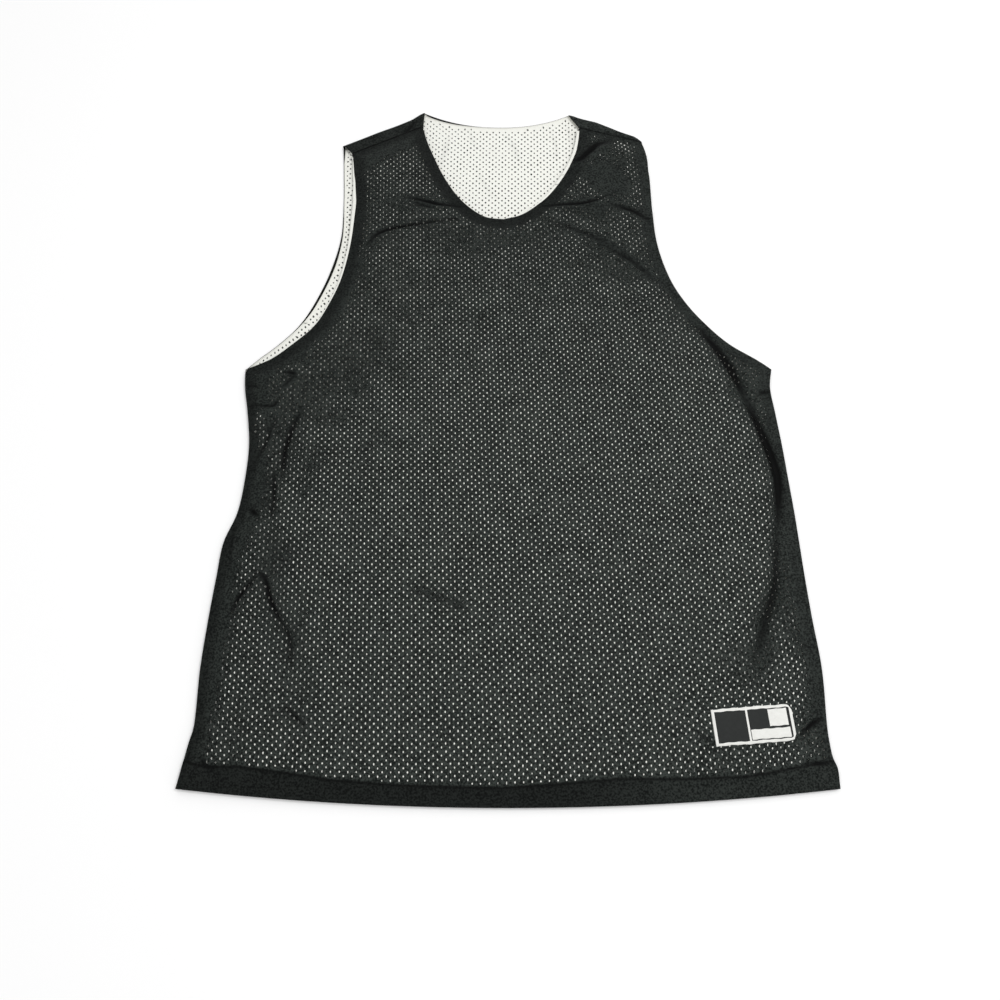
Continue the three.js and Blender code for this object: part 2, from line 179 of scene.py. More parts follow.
# The front's outline, anticlockwise from the left end of the hem. The reveal is how far
# its left armhole and right neck edge roll out past the other ply.
def frontRuns(reveal, hemLift):
    hem = marks["hemEnd"] + hemLift
    underarm = marks["underarm"]
    foot = marks["strapFoot"]
    top = len(leftStrap) - 1
    neck = points["frontNeck"]
    strap = points["strap"]
    rightNeck = strapColumn(rightStrap, 3, top, 0, neck)
    toMiddle = np.array(neckMiddle) - rightNeck
    toMiddle /= np.linalg.norm(toMiddle, axis=1)[:, None]
    rim = reveal * np.sin(np.linspace(1, 0, neck) * math.radians(135))
    rightNeck = rightNeck + toMiddle * rim[:, None]
    leftSleeve = strapColumn(leftStrap, 1, top, 0, strap)
    leftSleeve[:, 0] -= reveal * np.cos(np.linspace(1, 0, strap) * math.pi / 2)
    seam = np.array([0, 0.3 + 0.6 * reveal])
    leftSeam = (leftShoulder["seamNeck"] - seam, leftShoulder["seamTip"] - seam)
    return [
        ("hem", hemRun(hemLift)),
        ("side", edgeColumn(sideEdges, 2, hem, underarm, points["side"])),
        ("armhole", edgeColumn(frontArmholes, 2, underarm, foot, points["frontArmhole"])),
        ("armhole", strapColumn(rightStrap, 1, 0, top, strap)),
        ("shoulder", straight(rightShoulder["seamTip"] - seam, rightNeck[0] - seam, points["seam"])),
        ("neck", rightNeck),
        ("neck", strapColumn(leftStrap, 3, 0, top, neck)),
        ("shoulder", straight(*leftSeam, points["seam"])),
        ("armhole", leftSleeve),
        ("armhole", edgeColumn(frontArmholes, 1, foot, underarm, points["frontArmhole"], -reveal)),
        ("side", edgeColumn(sideEdges, 1, underarm, hem, points["side"])),
    ]


def foldRun(shoulder, bow):
    share = np.linspace(0, 1, points["fold"])
    run = straight(shoulder["foldTip"], shoulder["foldNeck"], points["fold"])
    run[:, 1] += np.interp(share, *zip(*bow))
    return run


# The back's outline, anticlockwise, with the neck's shallow dip between the two shoulder folds.
def backRuns(reveal, hemLift):
    hem = marks["hemEnd"] + hemLift
    underarm = marks["underarm"]
    tip = marks["backTip"]
    share = np.linspace(0, 1, points["backNeck"])
    neck = straight(rightShoulder["foldNeck"], leftShoulder["foldNeck"], points["backNeck"])
    neck[:, 1] -= backNeck["dip"] * (1 - np.abs(2 * share - 1) ** backNeck["flat"])
    shown = backNeck["least"] + backNeck["most"] * ease(share, *backNeck["shows"])
    neck[:, 1] -= reveal * shown * (1 - ease(share, *backNeck["ends"]))
    leftSleeve = edgeColumn(backArmholes, 1, tip, underarm, points["backArmhole"])
    leftSleeve[:, 0] += reveal * np.interp(leftSleeve[:, 1], *zip(*sleeveReveal))
    return [
        ("hem", hemRun(hemLift)),
        ("side", edgeColumn(sideEdges, 2, hem, underarm, points["side"])),
        ("armhole", edgeColumn(backArmholes, 2, underarm, tip, points["backArmhole"])),
        ("fold", foldRun(rightShoulder, rightBow)),
        ("neck", neck),
        ("fold", foldRun(leftShoulder, leftBow)[::-1]),
        ("armhole", leftSleeve),
        ("side", edgeColumn(sideEdges, 1, underarm, hem, points["side"])),
    ]


# One closed outline from its runs: its places, what each rolls out by, what kind each stretch is,
# and how far along its run it starts. A ply that lies inside another keeps inward of the shared line.
def closedOutline(runs, radius, bands, inward=0):
    places = []
    kinds = []
    shares = []
    for kind, line in runs:
        for number, place in enumerate(line):
            if places and np.hypot(*(place - places[-1])) < closest:
                kinds[-1] = kind
                shares[-1] = number / (len(line) - 1)
                continue
            places.append(place)
            kinds.append(kind)
            shares.append(number / (len(line) - 1))
    if np.hypot(*(places[0] - places[-1])) < closest:
        places.pop()
        kinds.pop()
        shares.pop()
    places = np.array(places)
    along = np.roll(places, -1, 0) - places
    along /= np.linalg.norm(along, axis=1)[:, None]
    normal = np.stack([along[:, 1], -along[:, 0]], 1)
    finish = [edgeFinish[kind] for kind in kinds]
    outSize = np.array([radius if edge["out"] is None else edge["out"] for edge in finish])
    dropSize = np.array([radius if edge["drop"] is None else edge["drop"] for edge in finish])
    outs = []
    aways = []
    corners = []
    for number in range(len(places)):
        before = normal[number - 1]
        after = normal[number]
        turn = before[0] * after[1] - before[1] * after[0]
        if abs(turn) > sharpTurn:
            corners.append(number)
            both = np.array([before, after])
            outs.append(np.linalg.solve(both, [outSize[number - 1], outSize[number]]))
            aways.append(np.linalg.solve(both, [inward, inward]))
        else:
            mean = (before + after) / np.linalg.norm(before + after)
            outs.append(mean * (outSize[number - 1] + outSize[number]) / 2)
            aways.append(mean * inward)
    outs = np.array(outs)
    drops = (dropSize + np.roll(dropSize, 1)) / 2
    return {
        "places": places,
        "kinds": kinds,
        "shares": np.array(shares),
        "outs": outs,
        "drops": drops,
        "skirts": np.array([edge["skirt"] for edge in finish]),
        "plain": np.array([bands[kind] for kind in kinds]),
        "corners": corners,
        "inset": places - outs - np.array(aways),
    }


# For each place, the nearest stretch of a closed line, how far along it, and how far away.
def nearestOn(line, places):
    tree = KDTree(len(line))
    for number, point in enumerate(line):
        tree.insert((*point, 0), number)
    tree.balance()
    corner = np.array([tree.find((x, y, 0))[1] for x, y in places])
    found = []
    for stretch in ((corner - 1) % len(line), corner):
        start = line[stretch]
        run = line[(stretch + 1) % len(line)] - start
        away = places - start
        share = np.clip((away * run).sum(1) / (run ** 2).sum(1), 0, 1)
        distance = np.linalg.norm(away - run * share[:, None], axis=1)
        found.append(np.stack([stretch, share, distance], 1))
    first, second = found
    found = np.where(first[:, 2:] < second[:, 2:], first, second)
    return found[:, 0].astype(int), found[:, 1], found[:, 2]


def isInside(line, places):
    following = np.roll(line, -1, 0)
    crossings = np.zeros(len(places), int)
    for start, end in zip(line, following):
        if start[1] == end[1]:
            continue
        spans = (places[:, 1] >= min(start[1], end[1])) & (places[:, 1] < max(start[1], end[1]))
        x = start[0] + (places[:, 1] - start[1]) * (end[0] - start[0]) / (end[1] - start[1])
        crossings += spans & (places[:, 0] < x)
    return crossings % 2 == 1


# A bare net of six-sided cells over the whole table, one cell for each hole.
# The slide says how far aside each place has slipped, as a share of half a cell.
def netOfCells(turn, shift, slide):
    columns = 2 * net["columns"]
    rows = net["rows"]
    mesh = bmesh.new()
    bmesh.ops.create_grid(mesh, x_segments=columns, y_segments=rows, size=1)
    number = {}
    for vertex in mesh.verts:
        column = round((vertex.co.x + 1) / 2 * columns)
        row = round((vertex.co.y + 1) / 2 * rows)
        number[vertex] = (column, row)
    joins = []
    for edge in mesh.edges:
        (columnA, rowA), (columnB, rowB) = number[edge.verts[0]], number[edge.verts[1]]
        if columnA == columnB and 0 < columnA < columns and (columnA + min(rowA, rowB)) % 2 == 1:
            joins.append(edge)
    angle = math.radians(turn)
    middle = net["middle"]
    column, row = np.array(list(number.values())).T
    x = (column - columns / 2) * net["across"] / 2 + shift[0]
    y = (row - rows / 2) * net["along"] / 2 + shift[1]
    y = y + np.where((column + row) % 2 == 0, net["pointed"], -net["pointed"])
    share = (x + net["halfWide"]) / (2 * net["halfWide"])
    share = np.clip(share, -net["beyond"], 1 + net["beyond"])
    y = y - 4 * net["sag"] * (share * (1 - share) - net["level"])
    places = np.stack([
        middle[0] + x * math.cos(angle) - y * math.sin(angle),
        middle[1] + x * math.sin(angle) + y * math.cos(angle),
    ], 1)
    if slide:
        aside = slide(places) * net["across"] / 2
        places += aside[:, None] * np.array([math.cos(angle), math.sin(angle)])
    for vertex, place in zip(number, places):
        vertex.co.x, vertex.co.y = place
    bmesh.ops.dissolve_edges(mesh, edges=joins, use_verts=False)
    return mesh


# Where the hem is stitched, as height over the table: the holes show above it.
hemStitch = [
    (-316, 43), (-289, 37), (-256, 37), (-209, 31), (-169, 25), (-102, 20), (-7, 17.5), (60, 22),
    (108, 26), (165, 25.5), (230, 28), (287, 38), (317, 43),
]


def stitchHeight(x):
    return np.interp(x, [place[0] for place in hemStitch], [place[1] for place in hemStitch])


# How a ply is cut: its holes start a little above the hem's stitches, and their unevenness is seeded.
# Its cloth is finer along creases, in a wrapped ply only along narrow ones.
cut = {
    "overStitch": 3, "seed": 5, "mostUneven": 0.3, "holeStart": 0.05, "narrow": 9, "finerBeside": 6,
    "stitchLine": (hemStitch, 2, 1), "merge": 0.5, "seamTurn": 0.9,
}


# Which edges of the net lie along a crease, and need finer cloth.
def nearLines(edges, lines):
    places = np.array([((edge.verts[0].co + edge.verts[1].co) / 2)[:2] for edge in edges])
    wider = [(line, width + cut["finerBeside"], 1) for line, width, deep in lines]
    return softLines(wider, places, 0.3) > 0.02


# A ply of the net, cut to its outline, its edges rolled and its holes opened.
def cutPly(outline, size, creases, slide):
    mesh = netOfCells(size["turn"], size["shift"], slide)
    inset = outline["inset"]
    centres = np.array([face.calc_center_median()[:2] for face in mesh.faces])
    outside = [face for face, keep in zip(list(mesh.faces), isInside(inset, centres)) if not keep]
    bmesh.ops.delete(mesh, geom=outside, context="FACES")
    faces = list(mesh.faces)
    centres = np.array([face.calc_center_median()[:2] for face in faces])
    nearest, share, distance = nearestOn(outline["places"], centres)
    opened = distance > outline["plain"][nearest]
    opened &= centres[:, 1] > stitchHeight(centres[:, 0]) + cut["overStitch"]
    if size["leastWhite"]:
        opened &= whiteShowing(centres) > size["leastWhite"]
    holes = [face for face, isOpen in zip(faces, opened) if isOpen]
    closed = [face for face, isOpen in zip(faces, opened) if not isOpen]
    layers = {name: mesh.verts.layers.float_vector.new(name) for name in ("base", "out")}
    for name in ("fold", "skirt", "rise", "openNetAndPaintedLight", "creased"):
        layers[name] = mesh.verts.layers.float.new(name)
    layEdges(mesh, outline, layers)
    rollEdges(mesh, layers, size["wraps"])
    bmesh.ops.inset_individual(
        mesh, faces=holes, thickness=cut["holeStart"], depth=0, use_even_offset=False
    )
    across = size["hole"][0] / net["across"]
    tall = size["hole"][1] / (net["along"] / 2 + 2 * net["pointed"])
    uneven = np.random.default_rng(cut["seed"]).normal(0, net["uneven"], (len(holes), 4))
    uneven = uneven.clip(-cut["mostUneven"], cut["mostUneven"])
    for face, (wider, taller, aside, above) in zip(holes, uneven):
        centre = face.calc_center_median()
        for vertex in face.verts:
            away = vertex.co - centre
            vertex.co.x = centre.x + away.x * across * (1 + wider) + aside
            vertex.co.y = centre.y + away.y * tall * (1 + taller) + above
    bmesh.ops.delete(mesh, geom=holes, context="FACES")
    bmesh.ops.poke(mesh, faces=[face for face in closed if face.is_valid])
    lines = [line for line in creases if size["wraps"] == 0 or line[1] < cut["narrow"]]
    lines += shoulderSeams + [cut["stitchLine"]]
    creased = [edge for edge, near in zip(mesh.edges, nearLines(mesh.edges, lines)) if near]
    bmesh.ops.subdivide_edges(mesh, edges=creased, cuts=1, use_grid_fill=True)
    return mesh, layers


# The net's ragged edge is drawn onto the outline, less what the roll takes up.
def layEdges(mesh, outline, layers):
    edge = [vertex for vertex in mesh.verts if vertex.is_boundary]
    places = np.array([vertex.co[:2] for vertex in edge])
    nearest, share, distance = nearestOn(outline["inset"], places)
    following = (nearest + 1) % len(outline["places"])
    blend = share[:, None]
    base = outline["inset"][nearest] * (1 - blend) + outline["inset"][following] * blend
    out = outline["outs"][nearest] * (1 - blend) + outline["outs"][following] * blend
    drop = outline["drops"][nearest] * (1 - share) + outline["drops"][following] * share
    fold = [-1.0] * len(edge)
    for number in range(len(edge)):
        if outline["kinds"][nearest[number]] == "fold":
            first = outline["shares"][nearest[number]]
            last = outline["shares"][following[number]]
            last = 1 if outline["kinds"][following[number]] != "fold" else last
            fold[number] = first * (1 - share[number]) + last * share[number]
    for corner in outline["corners"]:
        number = np.hypot(*(places - outline["inset"][corner]).T).argmin()
        base[number] = outline["inset"][corner]
        out[number] = outline["outs"][corner]
        drop[number] = outline["drops"][corner]
        kinds = (outline["kinds"][corner - 1], outline["kinds"][corner])
        if kinds[1] == "fold":
            fold[number] = outline["shares"][corner]
        elif kinds[0] == "fold":
            fold[number] = 1
    for number, vertex in enumerate(edge):
        vertex.co.x, vertex.co.y = base[number]
        vertex[layers["base"]] = (*base[number], 0)
        vertex[layers["out"]] = (*out[number], drop[number])
        vertex[layers["fold"]] = fold[number]
        vertex[layers["skirt"]] = outline["skirts"][nearest[number]]
    bmesh.ops.remove_doubles(mesh, verts=edge, dist=cut["merge"])


def newEdge(mesh, edges):
    made = bmesh.ops.extrude_edge_only(mesh, edges=edges)["geom"]
    vertices = [item for item in made if isinstance(item, bmesh.types.BMVert)]
    fresh = set(vertices)
    edges = [item for item in made if isinstance(item, bmesh.types.BMEdge)]
    return vertices, [edge for edge in edges if fresh.issuperset(edge.verts)]


def rollTo(vertex, layers, angle):
    base = vertex[layers["base"]]
    out = vertex[layers["out"]]
    vertex.co.x = base.x + out.x * math.sin(angle)
    vertex.co.y = base.y + out.y * math.sin(angle)
    vertex[layers["rise"]] = out.z * (1 - math.cos(angle))


# Edges are turned a quarter round. Over the shoulders the cloth turns right over and comes down to its seam.
def rollEdges(mesh, layers, wraps):
    edges = [edge for edge in mesh.edges if edge.is_boundary]
    for angle in (30, 60, 90):
        vertices, edges = newEdge(mesh, edges)
        for vertex in vertices:
            rollTo(vertex, layers, math.radians(angle))
    onFold = [edge for edge in edges if all(vertex[layers["fold"]] >= 0 for vertex in edge.verts)]
    wrapping = set(onFold)
    others = [edge for edge in edges if edge not in wrapping]
    vertices, others = newEdge(mesh, others)
    for vertex in vertices:
        vertex[layers["rise"]] += vertex[layers["skirt"]]
    if not wraps:
        return
    for angle in (120, 150, 180):
        vertices, onFold = newEdge(mesh, onFold)
        for vertex in vertices:
            rollTo(vertex, layers, math.radians(angle))
    for part in np.linspace(0.25, 1, 4) * wraps:
        vertices, onFold = newEdge(mesh, onFold)
        for vertex in vertices:
            base = vertex[layers["base"]]
            shoulder = leftShoulder if base.x < 0 else rightShoulder
            share = vertex[layers["fold"]] if base.x > 0 else 1 - vertex[layers["fold"]]
            seam = Vector(shoulder["seamTip"]).lerp(Vector(shoulder["seamNeck"]), share)
            vertex.co.x = base.x + (seam.x - base.x) * part
            vertex.co.y = base.y + (seam.y - base.y) * part
    vertices, onFold = newEdge(mesh, onFold)
    for vertex in vertices:
        vertex[layers["rise"]] -= cut["seamTurn"]


# The front's form: air under it, long soft troughs, and sharper creases along lines of points.
# Beside a crease the cloth stands up a little, over some times its width and by a share of its depth.
frontForm = {
    "loft": 4, "margin": 3, "slope": 26, "beside": (2.6, 0.3), "sharper": 1.3, "creaseMargin": 6,
    "troughs": [
        (((246, 484), (278, 412), (294, 337)), 30, 4), (((294, 337), (288, 245), (249, 137)), 30, 4),
        (((-254, 420), (-266, 380), (-277, 345)), 26, 3), (((-232, 376), (-252, 330), (-252, 262)), 30, 3),
        (((-252, 262), (-238, 195), (-203, 112)), 34, 3.5),
        (((-278, 205), (-283, 185), (-290, 160)), 26, 2.5),
    ],
    "creases": [
        (((-168, 635), (-152, 654), (-116, 665), (-59, 674)), 9, 1.5),
        (((-125, 707), (-100, 701), (-81, 696), (-49, 695)), 8, 1.7), (((-116, 698), (-85, 689)), 7, 1),
        (((44, 695), (73, 696), (101, 699), (129, 711)), 8, 1.6),
        (((86, 766), (96, 770), (103, 777), (109, 782), (117, 790), (130, 796)), 14, 2.4),
        (((131, 695), (156, 686), (177, 674)), 11, 1.4), (((49, 674), (99, 651), (141, 625)), 11, 0.8),
        (((114, 637), (149, 614), (177, 584)), 11, 1),
        (((225, 519), (241, 494), (257, 462), (269, 429)), 16, 1.9),
        (((269, 429), (282, 387), (292, 347), (293, 322), (288, 283)), 17, 2.3),
        (((288, 283), (282, 251), (278, 219), (267, 188), (257, 162), (247, 139)), 15, 1.2),
        (((-253, 344), (-250, 318), (-249, 292)), 8, 1.4),
        (((-288, 290), (-289, 270), (-289, 251), (-287, 226)), 6, 0.9),
        (((-274, 299), (-264, 290)), 9, 1.6),
        (((-259, 226), (-268, 212), (-276, 200), (-281, 187)), 9, 1.5),
        (((-260, 230), (-250, 221), (-244, 203), (-236, 187), (-228, 175)), 9, 1.7),
        (((-228, 175), (-219, 159), (-216, 136)), 9, 1),
        (((-259, 400), (-265, 375), (-276, 349)), 9, 1.2), (((-249, 463), (-237, 459)), 7, 1.5),
        (((-286, 423), (-262, 420), (-255, 429)), 7, 1.3), (((-293, 448), (-276, 444)), 7, 1),
        (((-228, 415), (-237, 389), (-243, 362), (-242, 335)), 11, 1.5),
        (((-252, 443), (-238, 460)), 7, 1.1), (((-217, 93), (-207, 84), (-197, 75)), 9, 1.1),
        (((-296, 47), (-289, 38), (-279, 35)), 8, 1.4), (((282, 436), (299, 440)), 7, 1.3),
        (((284, 66), (296, 76), (307, 82)), 9, 1.6), (((187, 66), (193, 62)), 7, 0.8),
        (((285, 39), (300, 40), (313, 41)), 8, 1.5), (((-95, 210), (-69, 202), (-42, 192)), 9, 0.2),
    ],
}


def lengthOf(places):
    return float(np.linalg.norm(np.diff(np.array(places, float), axis=0), axis=1).sum())


def lineOf(places, steps):
    places = np.array(places, float)
    if len(places) < 3:
        return straight(places[0], places[1], steps)
    keys = np.linspace(0, 1, len(places))
    at = np.linspace(0, 1, steps)
    return np.stack([smoothColumn(list(zip(keys, column)), 1, at) for column in places.T], 1)


# How deep a soft line in the cloth is at each place: rounded across, and fading to its ends.
def softLines(lines, places, endShare):
    depth = np.zeros(len(places))
    for middle, width, deep in lines:
        line = lineOf(middle, max(9, int(lengthOf(middle) / 2)))
        low = line.min(0) - width
        high = line.max(0) + width
        near = np.nonzero(((places > low) & (places < high)).all(1))[0]
        if not len(near):
            continue
        away = np.linalg.norm(places[near][:, None, :] - line[None], axis=2)
        along = endShare + (1 - 2 * endShare) * np.linspace(0, 1, len(line))
        across = np.clip(away / (width / 2), 0, 1)
        here = (deep * np.sin(math.pi * along)[None] * np.cos(across * math.pi / 2) ** 2).max(1)
        depth[near] = np.maximum(depth[near], here)
    return depth


# How much white shows through the front's holes. Where the white ply's holes lie under the
# black ply's no white shows: patches (x, y, half widths, turn, share), and strips along lines.
# Less shows up the front, to the left, in creases and near edges. Wavers: size, seed, share.
whiteShow = {
    "slip": 0.45, "upward": (0.58, 300, 640), "leftward": (0.3, 60, 260), "inCrease": (0.9, 1.9),
    "nearEdge": (0.3, 10, 32), "wavers": ((26, 3.1, 0.25), (9, 8.2, 0.15)),
    "patches": [
        (-190, 458, 70, 48, 30, 0.66), (-242, 428, 52, 36, 0, 0.7), (-150, 368, 15, 29, -25, 0.5),
        (-212, 344, 10, 38, -15, 0.65), (-245, 242, 17, 37, -10, 0.8), (-216, 159, 9, 45, -12, 0.65),
        (-137, 380, 7, 48, 0, 0.35), (-69, 200, 29, 6, -15, 0.3), (-262, 71, 8, 26, 0, 0.6),
        (125, 739, 58, 81, -25, 0.94), (135, 614, 48, 26, -30, 0.75), (104, 690, 37, 21, 0, 0.5),
        (-112, 698, 62, 15, -5, 0.55), (-43, 638, 41, 23, 0, 0.45), (-153, 645, 32, 15, 30, 0.45),
        (-7, 653, 85, 18, 0, 0.5), (278, 448, 29, 33, -30, 0.9), (261, 159, 12, 38, 8, 0.85),
        (231, 134, 26, 26, 0, 0.6), (152, 200, 12, 23, -20, 0.3), (289, 62, 17, 28, 0, 0.6),
        (235, 45, 70, 26, 0, 0.4), (-30, 536, 23, 16, 0, 0.35), (-180, 505, 105, 130, 0, 0.3),
    ],
    "dimStrips": [
        (((-299, 454), (-285, 400), (-283, 340), (-286, 300), (-296, 260)), 96, 1),
        (((-296, 270), (-300, 242), (-303, 200), (-304, 159), (-304, 120)), 84, 1),
        (((-304, 159), (-303, 109), (-304, 62), (-306, 39)), 60, 0.95),
        (((299, 440), (306, 380), (306, 332), (308, 287)), 48, 1),
        (((304, 320), (308, 270), (311, 210), (313, 150), (314, 80)), 66, 1),
        (((299, 404), (303, 332), (297, 275)), 44, 1), (((296, 242), (287, 200), (287, 149)), 30, 0.7),
        (((-187, 675), (-193, 609), (-209, 553)), 48, 0.9),
        (((-193, 609), (-209, 553), (-233, 513), (-260, 486), (-291, 460)), 80, 0.96),
        (((-200, 748), (-168, 770), (-132, 793), (-101, 812)), 46, 1),
    ],
    "brightStrips": [
        (((-221, 500), (-205, 500), (-188, 501)), 9, 0.5),
        (((-256, 466), (-234, 468), (-213, 468)), 9, 0.5),
        (((117, 803), (137, 804), (149, 798), (157, 793)), 9, 0.8),
        (((141, 795), (149, 790), (159, 784)), 9, 1), (((142, 785), (151, 780), (158, 771)), 9, 1),
        (((156, 776), (157, 760), (158, 742)), 11, 0.95), (((158, 742), (165, 710), (172, 690)), 14, 0.5),
        (((87, 736), (105, 717), (122, 702)), 16, 0.5), (((-277, 411), (-271, 389), (-267, 368)), 14, 0.6),
    ],
}


# Soft unevenness over the table, about -1 to 1, with patches of one size.
def unevenness(places, size, seed):
    return np.array([noise.noise((x / size, y / size, seed)) for x, y in places]) * 1.6


def whiteShowing(places):
    x, y = places.T
    showing = lessen(y, *whiteShow["upward"]) * lessen(-x, *whiteShow["leftward"])
    (size, seed, share), (fineSize, fineSeed, fineShare) = whiteShow["wavers"]
    waver = unevenness(places, size, seed)
    for middleX, middleY, halfWide, halfTall, turn, most in whiteShow["patches"]:
        angle = math.radians(turn)
        away = places - np.array([middleX, middleY])
        across = (away[:, 0] * math.cos(angle) + away[:, 1] * math.sin(angle)) / halfWide
        along = (away[:, 1] * math.cos(angle) - away[:, 0] * math.sin(angle)) / halfTall
        showing *= 1 - most * (1 - ease(np.hypot(across, along) + 0.3 * waver, 0.4, 1.4))
    for line, width, most in whiteShow["dimStrips"]:
        across = softLines([(line, width, 1)], places, 0.3)
        showing *= lessen(across, most, 0.1, 0.6)
    most, wider = whiteShow["inCrease"]
    folds = [(line, wider * width, 1) for line, width, deep in frontForm["creases"]]
    showing *= lessen(softLines(folds, places, 0.2), most, 0.05, 0.7)
    least, low, high = whiteShow["nearEdge"]
    distance = nearestOn(frontOutline["places"], places)[2]
    showing *= least + (1 - least) * ease(distance, low, high)
    for line, width, most in whiteShow["brightStrips"]:
        showing = np.maximum(showing, most * softLines([(line, width, 1)], places, 0.3))
    fine = unevenness(places, fineSize, fineSeed)
    return np.clip(showing * (1 + share * waver + fineShare * fine), 0, 1)


def frontSlide(places):
    return whiteShow["slip"] * whiteShowing(places)


def frontLift(places, outline):
    distance = nearestOn(outline["places"], places)[2]
    fade = ease(distance, frontForm["margin"], frontForm["margin"] + frontForm["slope"])
    troughs = softLines(frontForm["troughs"], places, 0.15)
    creases = softLines(frontForm["creases"], places, 0.1)
    wider, higher = frontForm["beside"]
    beside = [(line, wider * width, higher * deep) for line, width, deep in frontForm["creases"]]
    folded = softLines(beside, places, 0.1) - frontForm["sharper"] * creases
    loft = np.maximum(frontForm["loft"] - troughs, 0) * fade
    return loft + folded * ease(distance, 0, frontForm["creaseMargin"])


# The back lies on the surface, with a few creases of its own that stand up into the jersey.
backForm = {
    "creases": [
        (((-71, 811), (-76, 787), (-82, 764)), 12, 0.8), (((58, 820), (65, 795), (63, 771)), 10, 0.8),
        (((79, 829), (83, 813), (84, 795)), 10, 0.9), (((3, 811), (13, 787), (20, 763)), 13, 0.7),
        (((-46, 820), (-40, 793)), 10, 0.5), (((-35, 755), (-25, 730), (-11, 710)), 12, 0.6),
        (((-135, 809), (-128, 814), (-121, 823), (-117, 829)), 8.8, 1.3),
        (((-186, 798), (-161, 806)), 7, 0.6), (((-139, 821), (-117, 838)), 7, 0.5),
        (((109, 821), (137, 810), (164, 798)), 7, 0.5), (((-196, 585), (-120, 560), (-40, 566)), 15, 0.9),
        (((60, 520), (140, 548), (186, 600)), 16, 1),
        (((270, 430), (262, 360), (276, 280), (268, 200)), 18, 1.1),
        (((-262, 420), (-246, 340), (-258, 250), (-232, 150)), 18, 1.1),
        (((-90, 330), (-60, 250), (-72, 180)), 15, 0.7), (((96, 300), (84, 210), (110, 130)), 15, 0.8),
        (((-30, 96), (60, 84), (150, 98)), 14, 0.7),
    ],
}


def backLift(places, outline):
    distance = nearestOn(outline["places"], places)[2]
    return softLines(backForm["creases"], places, 0.1) * ease(distance, 2, 14)


# How tone and height run over a ply. A point that has risen past the first value is on a wrap. Pairs
# are the tones of the left and right wrap, and where the net opens beside a doubled edge or a stitch.
# Triples are a share, and where it starts and ends. The tone carries painted shade in creases, along
# seams and the stitch line, and towards the top and left of the front, and painted light towards its right.
toneRun = {
    "wrapRise": 2.9, "wraps": (0.2, 0.6), "besideEdge": (-3, 7), "besideStitch": (-1, 2.5),
    "fullCrease": 1.25, "seamEnd": 0.5, "showing": 0.3, "upward": (0.28, 420, 760),
    "leftward": (0.25, 120, 300), "rightLeast": (0.48, 40, 200), "hemRise": 0.6, "stitch": (0.9, 1.3),
    "lowBeside": 10,
}


# The ply takes its place in the stack, and becomes a piece in metres in the frame.
def finishPly(name, mesh, layers, outline, creases, onFront, ply):
    vertices = list(mesh.verts)
    places = np.array([vertex.co[:2] for vertex in vertices])
    x, y = places.T
    overStitch = y - stitchHeight(x)
    wrapped = np.array([abs(vertex[layers["rise"]]) > toneRun["wrapRise"] for vertex in vertices])
    aboveStitch = ease(overStitch, *toneRun["besideStitch"])
    nearest, share, distance = nearestOn(outline["places"], places)
    closedTo, openFrom = toneRun["besideEdge"]
    plain = outline["plain"][nearest]
    openingAndPaintedLight = ease(distance, plain + closedTo, plain + openFrom) * aboveStitch
    leftTone, rightTone = toneRun["wraps"]
    openingAndPaintedLight = np.where(wrapped, np.where(x > 0, rightTone, leftTone), openingAndPaintedLight)
    # painted shade: creases, and the shoulder seams on the front and the wraps, are darkened in the cloth's
    # colour
    paintedCreaseShade = softLines(creases, places, 0.1) / toneRun["fullCrease"]
    if onFront or wrapped.any():
        seams = softLines(shoulderSeams, places, toneRun["seamEnd"])
        paintedCreaseShade = np.maximum(paintedCreaseShade, seams * (wrapped | onFront))
    if onFront:
        height = stack["frontCentre"] + stack[ply] + frontLift(places, frontOutline)
        openingAndPaintedLight *= 1 - toneRun["showing"] + toneRun["showing"] * whiteShowing(places)
        # painted shade darker towards the top and the left of the front, and painted light towards its right
        openingAndPaintedLight *= lessen(y, *toneRun["upward"]) * lessen(-x, *toneRun["leftward"])
        least, low, high = toneRun["rightLeast"]
        openingAndPaintedLight = np.maximum(openingAndPaintedLight, least * ease(x, low, high))
        if ply == "black":
            height += toneRun["hemRise"] * (1 - aboveStitch)
            # painted shade: a dark line along the hem's stitches
            deep, width = toneRun["stitch"]
            paintedCreaseShade = np.maximum(paintedCreaseShade, deep * np.exp(-(overStitch / width) ** 2))
        else:
            lines = frontForm["creases"] + frontForm["troughs"]
            lines = [(line, width + toneRun["lowBeside"], 1) for line, width, deep in lines]
            height -= stack["creaseGap"] * ease(softLines(lines, places, 0.3), 0.0, 0.3)
    else:
        turned = np.where(wrapped, -1, 1)
        height = stack["backCentre"] - stack[ply] + backLift(places, outline) * turned
        height -= stack["wrapGap"] * wrapped * (ply == "white")
    for vertex, z, opened, crease in zip(vertices, height, openingAndPaintedLight, paintedCreaseShade):
        rise = vertex[layers["rise"]]
        vertex.co.z = z - rise if onFront else z + rise
        vertex[layers["openNetAndPaintedLight"]] = opened
        vertex[layers["creased"]] = crease
    for kind, names in (("float_vector", ("base", "out")), ("float", ("fold", "skirt", "rise"))):
        kept = getattr(mesh.verts.layers, kind)
        for layer in names:
            kept.remove(kept[layer])
    toFrame(mesh)
    up = sum(face.normal.z * face.calc_area() for face in mesh.faces)
    if (up < 0) == onFront:
        bmesh.ops.reverse_faces(mesh, faces=mesh.faces)
    return makePiece(name, mesh, [knits[ply]])


# From millimetres on the table to metres in the frame.
def toFrame(mesh):
    bmesh.ops.translate(mesh, verts=mesh.verts, vec=(-tableCentre[0], -tableCentre[1], 0))
    bmesh.ops.scale(mesh, verts=mesh.verts, vec=(0.001, 0.001, 0.001))


